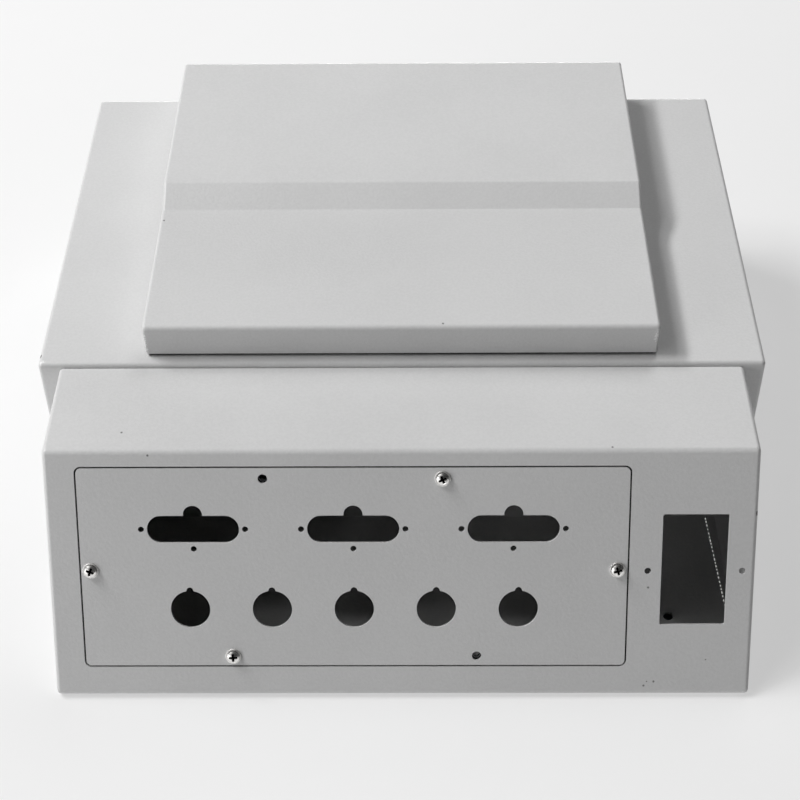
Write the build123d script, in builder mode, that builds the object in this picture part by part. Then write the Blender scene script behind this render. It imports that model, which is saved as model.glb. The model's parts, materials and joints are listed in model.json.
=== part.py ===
from build123d import *
import math
import os

os.makedirs("parts", exist_ok=True)

# A sheet-steel control console housing: a lidded main box, and a lower console in front with a sloped face.
# Millimetres. X to the right, Y to the back, Z up. The origin is under the middle of the whole object.

# Sheet, shared by every folded piece
sheet = 1.5
bend = 4.0  # outer radius of the long folds
flange_bend = 3.0  # outer radius of the folds into the feet
tight_bend = 1.7  # outer radius of the sharp folds into hidden flanges
edge = 2.5  # outer radius where a side wall meets the folded wrap
overrun = 5.0  # how far a cut runs past the face that it opens

# Main housing
housing_width = 426.4
housing_depth = 273.0
housing_height = 134.0  # from the floor to the top face
housing_flange = 18.0
housing_front_bend = 2.5  # outer radius of the fold over the console
cable_window_width = 340.0
cable_window_height = 70.0
cable_window_corner = 6.0

# Base plate
base_thickness = 2.0
base_margin = 0.5  # how far it stays inside the housing's outline
base_corner = 4.0
base_screw_inset = 11.0  # from the side walls to the screws
base_screw_end = 30.0  # from the front and rear walls to the end screws
base_screws_per_side = 3

# Console
console_width = 401.0
console_step = 2.0  # its top below the housing's top
console_top_depth = 68.0  # from the housing's front to the fold at the top
console_base_depth = 142.0  # from the housing's front to the fold at the base
console_flange = 16.0
console_bolt_inset = 9.5  # from its top and base to the bolts
console_bolt_pitch = 150.0
console_bolt_columns = 3
floor_hole_radius = 3.0
floor_hole_x = 160.6  # each side of the middle
floor_hole_ahead = 82.2  # of the housing's front

# Flush connector panel, placed from the console's middle and down the slope from its top fold
panel_width = 310.1
panel_height = 119.2
panel_corner = 3.0
panel_gap = 1.0
panel_x = -26.9
panel_drop = 69.7
frame_overlap = 6.0  # of the ledge under the console's face
frame_ledge = 12.0  # of the ledge under the panel

# Its fixing places, from the panel's middle
top_fixing_x = 50.4
top_fixing_rise = 53.3
side_fixing_x = 149.5
side_fixing_drop = 1.2
low_fixing_x = 70.0
low_fixing_drop = 53.9
fixing_hole_radius = 2.7

# Its three keyed slots and their small holes
slot_length = 52.0
slot_height = 16.2
slot_pitch = 90.4
slot_count = 3
slot_rise = 23.5  # above the panel's middle
slot_notch_radius = 5.4
slot_notch_lift = 0.5  # of the notch's centre above the slot's top edge
slot_hole_radius = 1.7
slot_hole_reach = 29.4
slot_hole_drop = 11.7

# Its five keyed round holes
socket_radius = 11.25
socket_pitch = 46.8
socket_count = 5
socket_drop = 24.9  # below the panel's middle
socket_key_width = 4.0
socket_key_reach = 13.3

# Rectangular cut-out at the right of the console's face
cutout_width = 37.2
cutout_height = 66.6
cutout_corner = 1.0
cutout_x = 165.9
cutout_drop = 71.1
cutout_hole_radius = 1.9
cutout_hole_reach = 26.7
cutout_hole_lag = 0.6  # of its screw holes below its middle
cutout_hole_shift = 0.5  # and right of it

# Lid, over an opening with an upturned rim
lid_width = 301.0
lid_setback = 7.3  # its front lip behind the housing's front
lid_front_rise = 22.1  # its low shelf above the housing's top
lid_rear_rise = 29.9
lid_ramp_start = 110.5  # from the lip to the foot of the ramp
lid_ramp_run = 17.8
lid_bend = 3.0
lid_foot_bend = 2.0
lid_edge = 2.0
lid_flange = 10.0
lid_flange_corner = 4.0
gasket_thickness = 1.0
gasket_width = 8.0
gasket_inset = 1.0
gasket_corner = 3.0
rim_gap = 2.0  # between the lid's flange and the rim
rim_height = 8.0
rim_corner = 10.0

# Hinges
hinge_spread = 100.0  # each side of the middle
hinge_length = 60.0
hinge_knuckles = 5
knuckle_radius = 3.2
pin_radius = 1.5
pin_gap = 0.1
hinge_gap = 0.3
leaf_thickness = 2.0
leaf_height = 22.0  # from the pin to the leaf's far edge
leaf_corner = 3.0
rivet_reach = 14.0  # from the pin to the rivets
rivet_spread = 20.0  # each side of a hinge's middle
rivet_radius = 1.6
rivet_hole_radius = 1.7
rivet_head_radius = 3.2
rivet_head_height = 1.0
rivet_tail_radius = 2.5
rivet_tail_height = 2.5

# Small fasteners
small_screw_radius = 2.0
small_hole_radius = 2.4
small_nut_flats = 7.0
small_nut_height = 3.2
thread_gap = 0.1
screw_length = 8.0
pan_head_radius = 3.5
pan_head_height = 2.4
pan_head_shoulder = 1.3  # height of the head's straight side
cross_width = 1.1
cross_reach = 2.1
cross_depth = 1.5
washer_radius = 4.5
washer_bore_radius = 2.2
washer_thickness = 0.8
sunk_head_radius = 3.75
sunk_head_recess = 0.1
bolt_radius = 2.5
bolt_hole_radius = 2.75
bolt_head_flats = 8.0
bolt_head_height = 3.5
bolt_nut_height = 4.0
bolt_end = 2.0  # bolt past its nut

# Earth terminal on the base plate
stud_inset = 62.5  # from the housing's left side
stud_back = 60.0  # behind the housing's front
stud_radius = 3.0
stud_height = 20.0
stud_weld_radius = 4.0
stud_weld_height = 0.8
stud_nut_flats = 10.0
stud_nut_height = 5.0
stud_washer_radius = 6.0
stud_washer_thickness = 1.2
stud_washer_bore_radius = 3.2
stud_washer_count = 2

# Places worked out from the sizes above
console_height = housing_height - console_step
slope = math.atan2(console_height, console_base_depth - console_top_depth)
nose_setback = bend / math.tan(slope / 2) - bend
front_reach = console_base_depth - nose_setback
hinge_reach = hinge_gap + knuckle_radius
rear_reach = housing_depth + hinge_reach + knuckle_radius
front_y = (front_reach - rear_reach) / 2  # the housing's front face
rear_y = front_y + housing_depth
hinge_y = rear_y + hinge_reach
hinge_z = housing_height + gasket_thickness / 2
lid_front_y = front_y + lid_setback
lid_depth = rear_y - lid_front_y
lid_mid_y = (rear_y + lid_front_y) / 2
lid_base = housing_height + gasket_thickness
housing_mid_y = (front_y + rear_y) / 2

# The console's face: x to the right, y up the slope, outwards along z, from the middle of the top fold
face = Plane(
    origin=(0, front_y - console_top_depth, console_height),
    x_dir=(1, 0, 0),
    z_dir=(0, -math.sin(slope), math.cos(slope)),
)
# The same plane, from the middle of the connector panel
panel_face = face.shift_origin(face.from_local_coords((panel_x, -panel_drop, 0)))
front_wall = Plane.XZ.offset(-front_y)
rear_wall = Plane.XZ.offset(-rear_y)
rear_outward = Plane(origin=(0, rear_y, 0), x_dir=(-1, 0, 0), z_dir=(0, 1, 0))

fixing_places = [
    (-top_fixing_x, top_fixing_rise),
    (top_fixing_x, top_fixing_rise),
    (-side_fixing_x, -side_fixing_drop),
    (side_fixing_x, -side_fixing_drop),
    (-low_fixing_x, -low_fixing_drop),
    (low_fixing_x, -low_fixing_drop),
]
# The upper left and lower right places have lost their screws
screwed_places = fixing_places[1:-1]
slot_places = [((i - (slot_count - 1) / 2) * slot_pitch, slot_rise) for i in range(slot_count)]
socket_places = [((i - (socket_count - 1) / 2) * socket_pitch, -socket_drop) for i in range(socket_count)]
cutout_hole_places = [
    (cutout_x + cutout_hole_shift + side * cutout_hole_reach, -cutout_drop - cutout_hole_lag)
    for side in (-1, 1)
]
floor_hole_places = [(side * floor_hole_x, front_y - floor_hole_ahead) for side in (-1, 1)]

base_screw_step = (housing_depth - 2 * base_screw_end) / (base_screws_per_side - 1)
base_screw_places = [
    (side * (housing_width / 2 - base_screw_inset), front_y + base_screw_end + i * base_screw_step)
    for side in (-1, 1)
    for i in range(base_screws_per_side)
]
bolt_places = [
    ((i - (console_bolt_columns - 1) / 2) * console_bolt_pitch, z)
    for z in (console_bolt_inset, console_height - console_bolt_inset)
    for i in range(console_bolt_columns)
]
hinge_places = {"left": -hinge_spread, "right": hinge_spread}
rivet_xs = [x + side * rivet_spread for x in hinge_places.values() for side in (-1, 1)]
housing_rivet_places = [(x, hinge_z - rivet_reach) for x in rivet_xs]
lid_rivet_places = [(x, hinge_z + rivet_reach) for x in rivet_xs]


def folded_form(points, radii, width, edge_radius, inset):
    """A block with the given side view in Y and Z, set in all round, its side edges rounded or sharp."""
    with BuildPart() as form:
        with BuildSketch(Plane.YZ):
            with BuildLine():
                FilletPolyline(*points, radius=radii, close=True)
            make_face()
            if inset:
                offset(amount=-inset)
        extrude(amount=width / 2 - inset, both=True)
        if edge_radius:
            ends = form.faces().sort_by(Axis.X)
            fillet(ends[0].edges() + ends[-1].edges(), radius=edge_radius)
    return form.part


def hex_nut(flats, height, bore_radius):
    """A plain hexagon nut that stands on its face."""
    with BuildPart() as nut:
        with BuildSketch():
            RegularPolygon(radius=flats / 2, side_count=6, major_radius=False)
            Circle(bore_radius, mode=Mode.SUBTRACT)
        extrude(amount=height)
    return nut.part


def plain_washer(radius, bore_radius, thickness):
    """A flat ring that stands on its face."""
    with BuildPart() as washer:
        with BuildSketch():
            Circle(radius)
            Circle(bore_radius, mode=Mode.SUBTRACT)
        extrude(amount=thickness)
    return washer.part


def pan_screw(length):
    """A cross-recess pan-head screw, its head on the face and its shank below."""
    with BuildPart() as screw:
        with BuildSketch(Plane.XZ):
            with BuildLine():
                Polyline(
                    (0, pan_head_height),
                    (0, -length),
                    (small_screw_radius, -length),
                    (small_screw_radius, 0),
                    (pan_head_radius, 0),
                    (pan_head_radius, pan_head_shoulder),
                )
                TangentArc((0, pan_head_height), (pan_head_radius, pan_head_shoulder), tangent=(1, 0))
            make_face()
        revolve(axis=Axis.Z)
        with BuildSketch(Plane.XY.offset(pan_head_height)):
            Rectangle(2 * cross_reach, cross_width)
            Rectangle(cross_width, 2 * cross_reach)
        extrude(amount=-cross_depth, mode=Mode.SUBTRACT)
    return screw.part


def sunk_screw(length):
    """A countersunk screw, its head flush with the face below it and its shank upwards."""
    cone_height = sunk_head_radius - small_screw_radius
    with BuildPart() as screw:
        with BuildSketch(Plane.XZ):
            with BuildLine():
                Polyline(
                    (0, 0),
                    (sunk_head_radius, 0),
                    (small_screw_radius, cone_height),
                    (small_screw_radius, length),
                    (0, length),
                    close=True,
                )
            make_face()
        revolve(axis=Axis.Z)
        with BuildSketch():
            Rectangle(2 * cross_reach, cross_width)
            Rectangle(cross_width, 2 * cross_reach)
        extrude(amount=cross_depth, mode=Mode.SUBTRACT)
    return screw.part


def hex_bolt(grip):
    """A hexagon bolt, its head on the face and its shank below."""
    with BuildPart() as bolt:
        with BuildSketch():
            RegularPolygon(radius=bolt_head_flats / 2, side_count=6, major_radius=False)
        extrude(amount=bolt_head_height)
        with BuildSketch():
            Circle(bolt_radius)
        extrude(amount=-(grip + bolt_nut_height + bolt_end))
    return bolt.part


def blind_rivet():
    """A domed rivet through a hinge leaf and one sheet, its head on the leaf's outer face."""
    grip = leaf_thickness + sheet
    tail = grip + rivet_tail_height
    with BuildPart() as rivet:
        with BuildSketch(Plane.XZ):
            with BuildLine():
                Polyline(
                    (0, rivet_head_height),
                    (0, -tail),
                    (rivet_radius, -tail),
                    (rivet_tail_radius, -(grip + tail) / 2),
                    (rivet_tail_radius, -grip),
                    (rivet_radius, -grip),
                    (rivet_radius, 0),
                    (rivet_head_radius, 0),
                )
                TangentArc((0, rivet_head_height), (rivet_head_radius, 0), tangent=(1, 0))
            make_face()
        revolve(axis=Axis.Z)
    return rivet.part


def hinge_leaf(middle_x, up, own_knuckles):
    """One leaf of a hinge on the rear faces, above or below the pin, with its own knuckles."""
    pitch = hinge_length / hinge_knuckles
    start_x = middle_x - hinge_length / 2
    knuckle_middles = [start_x + (i + 1 / 2) * pitch for i in own_knuckles]
    shoulder = knuckle_radius + hinge_gap
    with BuildPart() as leaf:
        with BuildSketch(rear_wall):
            with Locations((middle_x, hinge_z + up * (leaf_height + shoulder) / 2)):
                Rectangle(hinge_length, leaf_height - shoulder)
            far_edge = leaf_height * up + hinge_z
            corners = [v for v in vertices() if abs(v.Y - far_edge) < leaf_corner]
            fillet(corners, radius=leaf_corner)
            with Locations(*[(x, hinge_z + up * shoulder / 2) for x in knuckle_middles]):
                Rectangle(pitch - hinge_gap, shoulder)
        extrude(amount=-leaf_thickness)
        for x in knuckle_middles:
            with BuildSketch(Plane.YZ.offset(x)):
                with Locations((hinge_y, hinge_z)):
                    Circle(knuckle_radius)
            extrude(amount=(pitch - hinge_gap) / 2, both=True)
        with BuildSketch(Plane.YZ.offset(middle_x)):
            with Locations((hinge_y, hinge_z)):
                Circle(pin_radius + pin_gap)
        extrude(amount=hinge_length, both=True, mode=Mode.SUBTRACT)
        rivet_z = hinge_z + up * rivet_reach
        with BuildSketch(rear_wall):
            with Locations(*[(middle_x + side * rivet_spread, rivet_z) for side in (-1, 1)]):
                Circle(rivet_hole_radius)
        extrude(amount=overrun, both=True, mode=Mode.SUBTRACT)
    return leaf.part


housing_outline = [
    (front_y, base_thickness),
    (front_y, housing_height),
    (rear_y, housing_height),
    (rear_y, base_thickness),
]
housing_radii = [flange_bend, housing_front_bend, bend, flange_bend]
console_outline = [
    (front_y, 0),
    (front_y - console_base_depth, 0),
    (front_y - console_top_depth, console_height),
    (front_y, console_height),
]
console_radii = [tight_bend, bend, bend, tight_bend]
lid_outline = [
    (lid_front_y, lid_base),
    (lid_front_y, housing_height + lid_front_rise),
    (lid_front_y + lid_ramp_start, housing_height + lid_front_rise),
    (lid_front_y + lid_ramp_start + lid_ramp_run, housing_height + lid_rear_rise),
    (rear_y, housing_height + lid_rear_rise),
    (rear_y, lid_base),
]
lid_radii = [tight_bend, lid_bend, lid_foot_bend, lid_bend, lid_bend, tight_bend]
rim_width = lid_width - 2 * (lid_flange + rim_gap)
rim_depth = lid_depth - 2 * (lid_flange + rim_gap)

# Main housing: a wrapped box with turned-in feet, an opening with a raised rim, and a window to the console
with BuildPart() as housing_shell:
    add(folded_form(housing_outline, housing_radii, housing_width, edge, 0))
    add(folded_form(housing_outline, housing_radii, housing_width, 0, sheet), mode=Mode.SUBTRACT)
    with BuildSketch(Plane.XY.offset(base_thickness)):
        with Locations((0, housing_mid_y)):
            Rectangle(housing_width - 2 * housing_flange, housing_depth - 2 * housing_flange)
    extrude(amount=overrun, both=True, mode=Mode.SUBTRACT)
    with BuildSketch(Plane.XY.offset(housing_height - sheet)):
        with Locations((0, lid_mid_y)):
            RectangleRounded(rim_width, rim_depth, rim_corner)
    extrude(amount=sheet + rim_height)
    with BuildSketch(Plane.XY.offset(housing_height)):
        with Locations((0, lid_mid_y)):
            RectangleRounded(rim_width - 2 * sheet, rim_depth - 2 * sheet, rim_corner - sheet)
    extrude(amount=rim_height + overrun, both=True, mode=Mode.SUBTRACT)
    with BuildSketch(front_wall):
        with Locations((0, console_height / 2)):
            RectangleRounded(cable_window_width, cable_window_height, cable_window_corner)
        with Locations(*bolt_places):
            Circle(bolt_hole_radius)
    extrude(amount=overrun, both=True, mode=Mode.SUBTRACT)
    with BuildSketch(rear_wall):
        with Locations(*housing_rivet_places):
            Circle(rivet_hole_radius)
    extrude(amount=overrun, both=True, mode=Mode.SUBTRACT)
    with BuildSketch(Plane.XY.offset(base_thickness)):
        with Locations(*base_screw_places):
            Circle(small_hole_radius)
    extrude(amount=overrun, both=True, mode=Mode.SUBTRACT)
housing_shell.part.label = "housing_shell"
export_step(housing_shell.part, "parts/housing_shell.step")

# Base plate, countersunk from below
with BuildPart() as base_plate:
    with BuildSketch():
        with Locations((0, housing_mid_y)):
            RectangleRounded(housing_width - 2 * base_margin, housing_depth - 2 * base_margin, base_corner)
        with Locations(*base_screw_places):
            Circle(small_hole_radius, mode=Mode.SUBTRACT)
    extrude(amount=base_thickness)
    sink_radius = sunk_head_radius + 2 * thread_gap
    with Locations(*base_screw_places):
        Cone(
            sink_radius,
            small_hole_radius,
            sink_radius - small_hole_radius,
            align=(Align.CENTER, Align.CENTER, Align.MIN),
            mode=Mode.SUBTRACT,
        )
base_plate.part.label = "base_plate"
export_step(base_plate.part, "parts/base_plate.step")

with BuildPart(Plane.XY.offset(sunk_head_recess)) as base_screws:
    with Locations(*base_screw_places):
        add(sunk_screw(screw_length))
base_screws.part.label = "base_screws"
export_step(base_screws.part, "parts/base_screws.step")

with BuildPart(Plane.XY.offset(base_thickness + sheet)) as base_weld_nuts:
    with Locations(*base_screw_places):
        add(hex_nut(small_nut_flats, small_nut_height, small_screw_radius + thread_gap))
base_weld_nuts.part.label = "base_weld_nuts"
export_step(base_weld_nuts.part, "parts/base_weld_nuts.step")

# Console: a wrapped tray, open at the back within its flanges
with BuildPart() as console_shell:
    add(folded_form(console_outline, console_radii, console_width, edge, 0))
    add(folded_form(console_outline, console_radii, console_width, 0, sheet), mode=Mode.SUBTRACT)
    with BuildSketch(front_wall):
        with Locations((0, console_height / 2)):
            Rectangle(console_width - 2 * console_flange, console_height - 2 * console_flange)
        with Locations(*bolt_places):
            Circle(bolt_hole_radius)
    extrude(amount=overrun, both=True, mode=Mode.SUBTRACT)
    with BuildSketch(panel_face):
        RectangleRounded(panel_width + 2 * panel_gap, panel_height + 2 * panel_gap, panel_corner + panel_gap)
    extrude(amount=overrun, both=True, mode=Mode.SUBTRACT)
    with BuildSketch(face):
        with Locations((cutout_x, -cutout_drop)):
            RectangleRounded(cutout_width, cutout_height, cutout_corner)
        with Locations(*cutout_hole_places):
            Circle(cutout_hole_radius)
    extrude(amount=overrun, both=True, mode=Mode.SUBTRACT)
    with BuildSketch():
        with Locations(*floor_hole_places):
            Circle(floor_hole_radius)
    extrude(amount=overrun, both=True, mode=Mode.SUBTRACT)
console_shell.part.label = "console_shell"
export_step(console_shell.part, "parts/console_shell.step")

with BuildPart(front_wall.offset(sheet)) as console_bolts:
    with Locations(*bolt_places):
        add(hex_bolt(2 * sheet))
console_bolts.part.label = "console_bolts"
export_step(console_bolts.part, "parts/console_bolts.step")

with BuildPart(front_wall.offset(-sheet - bolt_nut_height)) as console_nuts:
    with Locations(*bolt_places):
        add(hex_nut(bolt_head_flats, bolt_nut_height, bolt_radius + thread_gap))
console_nuts.part.label = "console_nuts"
export_step(console_nuts.part, "parts/console_nuts.step")

# Connector panel, flush in the console's face
with BuildPart() as connector_panel:
    with BuildSketch(panel_face):
        RectangleRounded(panel_width, panel_height, panel_corner)
        with Locations(*fixing_places):
            Circle(fixing_hole_radius, mode=Mode.SUBTRACT)
        with Locations(*slot_places):
            SlotOverall(slot_length, slot_height, mode=Mode.SUBTRACT)
        with Locations(*[(x, y + slot_height / 2 + slot_notch_lift) for x, y in slot_places]):
            Circle(slot_notch_radius, mode=Mode.SUBTRACT)
        with Locations(*[(x + side * slot_hole_reach, y) for x, y in slot_places for side in (-1, 1)]):
            Circle(slot_hole_radius, mode=Mode.SUBTRACT)
        with Locations(*[(x, y - slot_hole_drop) for x, y in slot_places]):
            Circle(slot_hole_radius, mode=Mode.SUBTRACT)
        with Locations(*socket_places):
            Circle(socket_radius, mode=Mode.SUBTRACT)
        with Locations(*[(x, y + socket_key_reach / 2) for x, y in socket_places]):
            SlotOverall(socket_key_reach, socket_key_width, rotation=90, mode=Mode.SUBTRACT)
    extrude(amount=-sheet)
connector_panel.part.label = "connector_panel"
export_step(connector_panel.part, "parts/connector_panel.step")

with BuildPart() as panel_frame:
    with BuildSketch(panel_face.offset(-sheet)):
        frame_growth = panel_gap + frame_overlap
        RectangleRounded(
            panel_width + 2 * frame_growth, panel_height + 2 * frame_growth, panel_corner + frame_growth
        )
        Rectangle(panel_width - 2 * frame_ledge, panel_height - 2 * frame_ledge, mode=Mode.SUBTRACT)
        with Locations(*fixing_places):
            Circle(small_hole_radius, mode=Mode.SUBTRACT)
    extrude(amount=-sheet)
panel_frame.part.label = "panel_frame"
export_step(panel_frame.part, "parts/panel_frame.step")

with BuildPart(panel_face.offset(-2 * sheet - small_nut_height)) as panel_weld_nuts:
    with Locations(*fixing_places):
        add(hex_nut(small_nut_flats, small_nut_height, small_screw_radius + thread_gap))
panel_weld_nuts.part.label = "panel_weld_nuts"
export_step(panel_weld_nuts.part, "parts/panel_weld_nuts.step")

with BuildPart(panel_face) as panel_washers:
    with Locations(*screwed_places):
        add(plain_washer(washer_radius, washer_bore_radius, washer_thickness))
panel_washers.part.label = "panel_washers"
export_step(panel_washers.part, "parts/panel_washers.step")

with BuildPart(panel_face.offset(washer_thickness)) as panel_screws:
    with Locations(*screwed_places):
        add(pan_screw(screw_length))
panel_screws.part.label = "panel_screws"
export_step(panel_screws.part, "parts/panel_screws.step")

# Lid: a stepped tray with turned-in edges
with BuildPart() as lid:
    add(folded_form(lid_outline, lid_radii, lid_width, lid_edge, 0))
    add(folded_form(lid_outline, lid_radii, lid_width, 0, sheet), mode=Mode.SUBTRACT)
    with BuildSketch(Plane.XY.offset(lid_base)):
        with Locations((0, lid_mid_y)):
            RectangleRounded(lid_width - 2 * lid_flange, lid_depth - 2 * lid_flange, lid_flange_corner)
    extrude(amount=overrun, both=True, mode=Mode.SUBTRACT)
    with BuildSketch(rear_wall):
        with Locations(*lid_rivet_places):
            Circle(rivet_hole_radius)
    extrude(amount=overrun, both=True, mode=Mode.SUBTRACT)
lid.part.label = "lid"
export_step(lid.part, "parts/lid.step")

# Gasket between the lid's turned-in edges and the housing's top
with BuildPart() as lid_gasket:
    gasket_outer_width = lid_width - 2 * gasket_inset
    gasket_outer_depth = lid_depth - 2 * gasket_inset
    with BuildSketch(Plane.XY.offset(housing_height)):
        with Locations((0, lid_mid_y)):
            RectangleRounded(gasket_outer_width, gasket_outer_depth, gasket_corner)
            Rectangle(
                gasket_outer_width - 2 * gasket_width,
                gasket_outer_depth - 2 * gasket_width,
                mode=Mode.SUBTRACT,
            )
    extrude(amount=gasket_thickness)
lid_gasket.part.label = "lid_gasket"
export_step(lid_gasket.part, "parts/lid_gasket.step")

# Hinges: odd knuckles on the lid's leaf, the others on the housing's
lid_knuckles = range(1, hinge_knuckles, 2)
housing_knuckles = range(0, hinge_knuckles, 2)
for side, middle_x in hinge_places.items():
    for owner, up, knuckles in (("housing", -1, housing_knuckles), ("lid", 1, lid_knuckles)):
        leaf = hinge_leaf(middle_x, up, knuckles)
        leaf.label = f"{side}_hinge_{owner}_leaf"
        export_step(leaf, f"parts/{leaf.label}.step")
    with BuildPart() as hinge_pin:
        with BuildSketch(Plane.YZ.offset(middle_x)):
            with Locations((hinge_y, hinge_z)):
                Circle(pin_radius)
        extrude(amount=(hinge_length - hinge_gap) / 2, both=True)
    hinge_pin.part.label = f"{side}_hinge_pin"
    export_step(hinge_pin.part, f"parts/{side}_hinge_pin.step")

for owner, places in (("housing", housing_rivet_places), ("lid", lid_rivet_places)):
    with BuildPart(rear_outward.offset(leaf_thickness)) as hinge_rivets:
        with Locations(*[(-x, z) for x, z in places]):
            add(blind_rivet())
    hinge_rivets.part.label = f"hinge_{owner}_rivets"
    export_step(hinge_rivets.part, f"parts/hinge_{owner}_rivets.step")

# Earth terminal: a welded stud with its washers and nut
stud_x = stud_inset - housing_width / 2
stud_plane = Plane(origin=(stud_x, front_y + stud_back, base_thickness))
stud_stack = stud_weld_height + stud_washer_count * stud_washer_thickness
with BuildPart() as earth_stud:
    with BuildSketch(stud_plane):
        Circle(stud_weld_radius)
    extrude(amount=stud_weld_height)
    with BuildSketch(stud_plane):
        Circle(stud_radius)
    extrude(amount=stud_height)
earth_stud.part.label = "earth_stud"
export_step(earth_stud.part, "parts/earth_stud.step")

with BuildPart(stud_plane.offset(stud_weld_height)) as earth_stud_washers:
    for i in range(stud_washer_count):
        with Locations((0, 0, i * (stud_washer_thickness + thread_gap))):
            add(plain_washer(stud_washer_radius, stud_washer_bore_radius, stud_washer_thickness))
earth_stud_washers.part.label = "earth_stud_washers"
export_step(earth_stud_washers.part, "parts/earth_stud_washers.step")

with BuildPart(stud_plane.offset(stud_stack + stud_washer_count * thread_gap)) as earth_stud_nut:
    add(hex_nut(stud_nut_flats, stud_nut_height, stud_radius + thread_gap))
earth_stud_nut.part.label = "earth_stud_nut"
export_step(earth_stud_nut.part, "parts/earth_stud_nut.step")
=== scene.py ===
"""Dresses the sheet-steel control console housing: paint and wear, fasteners, gasket, light and camera.

Metres throughout. X to the right, Y to the back, Z up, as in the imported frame.
"""

import json
import logging
import math
from dataclasses import dataclass, field
from enum import Enum
from typing import Any, Callable, Optional, Sequence, Union

import bmesh
import bpy
import numpy as np
from mathutils import Matrix, Vector


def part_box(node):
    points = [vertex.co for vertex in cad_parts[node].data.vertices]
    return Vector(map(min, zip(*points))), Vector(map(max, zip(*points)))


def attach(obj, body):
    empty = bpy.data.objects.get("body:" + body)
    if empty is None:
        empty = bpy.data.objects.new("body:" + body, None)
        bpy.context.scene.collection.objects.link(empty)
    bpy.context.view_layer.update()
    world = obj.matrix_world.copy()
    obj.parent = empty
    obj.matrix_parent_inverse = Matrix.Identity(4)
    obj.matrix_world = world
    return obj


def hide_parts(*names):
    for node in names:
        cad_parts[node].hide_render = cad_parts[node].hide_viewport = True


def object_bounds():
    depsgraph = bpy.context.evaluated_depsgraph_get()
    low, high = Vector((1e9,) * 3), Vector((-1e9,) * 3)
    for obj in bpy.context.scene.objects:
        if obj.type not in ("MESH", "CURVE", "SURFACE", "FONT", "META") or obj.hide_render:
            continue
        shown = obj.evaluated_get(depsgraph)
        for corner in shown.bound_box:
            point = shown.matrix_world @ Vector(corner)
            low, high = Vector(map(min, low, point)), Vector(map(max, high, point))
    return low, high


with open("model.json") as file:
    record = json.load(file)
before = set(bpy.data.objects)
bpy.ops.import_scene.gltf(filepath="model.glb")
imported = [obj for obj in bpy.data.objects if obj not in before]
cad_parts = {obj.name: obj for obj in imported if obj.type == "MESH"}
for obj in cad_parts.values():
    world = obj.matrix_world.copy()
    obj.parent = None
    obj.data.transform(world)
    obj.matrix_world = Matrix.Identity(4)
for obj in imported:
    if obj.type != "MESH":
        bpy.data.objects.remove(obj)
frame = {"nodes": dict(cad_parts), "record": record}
cad_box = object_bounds()

MM = 0.001
SAME_PLACE = 0.001 * MM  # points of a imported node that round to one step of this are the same
JOIN_REACH = 0.0005 * MM  # points of a new mesh that are nearer than this are joined
THREAD_ROWS = 6  # rows of points for each turn of a thread
THREAD_DEPTH = 0.6  # a thread's depth, as a share of its pitch
SHANK_COLUMNS = 24
ROUND_COLUMNS = 48
LOG = logging.getLogger("console_housing")

Triple = tuple[float, float, float]


class Body(Enum):
    """The bodies that pieces ride on."""

    HOUSING = "housing"
    LID = "lid"


class Slot(Enum):
    """The record's material slots for the new pieces; the fasteners hold one, but no piece is given it."""

    PANEL = "panel_fasteners"
    ZINC = "zinc_fasteners"
    RUBBER = "gasket_rubber"


# Shader maths


class Field:
    """A shader value whose operators add Math nodes, so that formulas read as plain maths."""

    def __init__(self, kit: "ShaderKit", socket: bpy.types.NodeSocket) -> None:
        self.kit = kit
        self.socket = socket

    def maths(self, operation: str, *values: "Value") -> "Field":
        """Adds one Math node.

        Args:
            operation: the Math node's operation.
            values: its inputs, in order.

        Returns:
            The node's result.
        """
        return self.kit.field("ShaderNodeMath", {"operation": operation}, dict(enumerate(values)))

    def __add__(self, other: "Value") -> "Field":
        """Sum."""
        return self.maths("ADD", self, other)

    def __radd__(self, other: "Value") -> "Field":
        """Sum, number first."""
        return self.maths("ADD", other, self)

    def __sub__(self, other: "Value") -> "Field":
        """Difference."""
        return self.maths("SUBTRACT", self, other)

    def __rsub__(self, other: "Value") -> "Field":
        """Difference, number first."""
        return self.maths("SUBTRACT", other, self)

    def __mul__(self, other: "Value") -> "Field":
        """Product."""
        return self.maths("MULTIPLY", self, other)

    def __rmul__(self, other: "Value") -> "Field":
        """Product, number first."""
        return self.maths("MULTIPLY", other, self)

    def size(self) -> "Field":
        """The value without its sign."""
        return self.maths("ABSOLUTE", self)

    def at_least(self, other: "Value") -> "Field":
        """The larger of the two."""
        return self.maths("MAXIMUM", self, other)

    def eased(self, low: float, high: float) -> "Field":
        """Rises smoothly from 0 at low to 1 at high.

        Args:
            low: where the rise starts.
            high: where it ends.

        Returns:
            The eased value.
        """
        settings = {"interpolation_type": "SMOOTHSTEP"}
        inputs = {"Value": self, "From Min": low, "From Max": high}
        return self.kit.field("ShaderNodeMapRange", settings, inputs)


Value = Union[Field, float]


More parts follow.
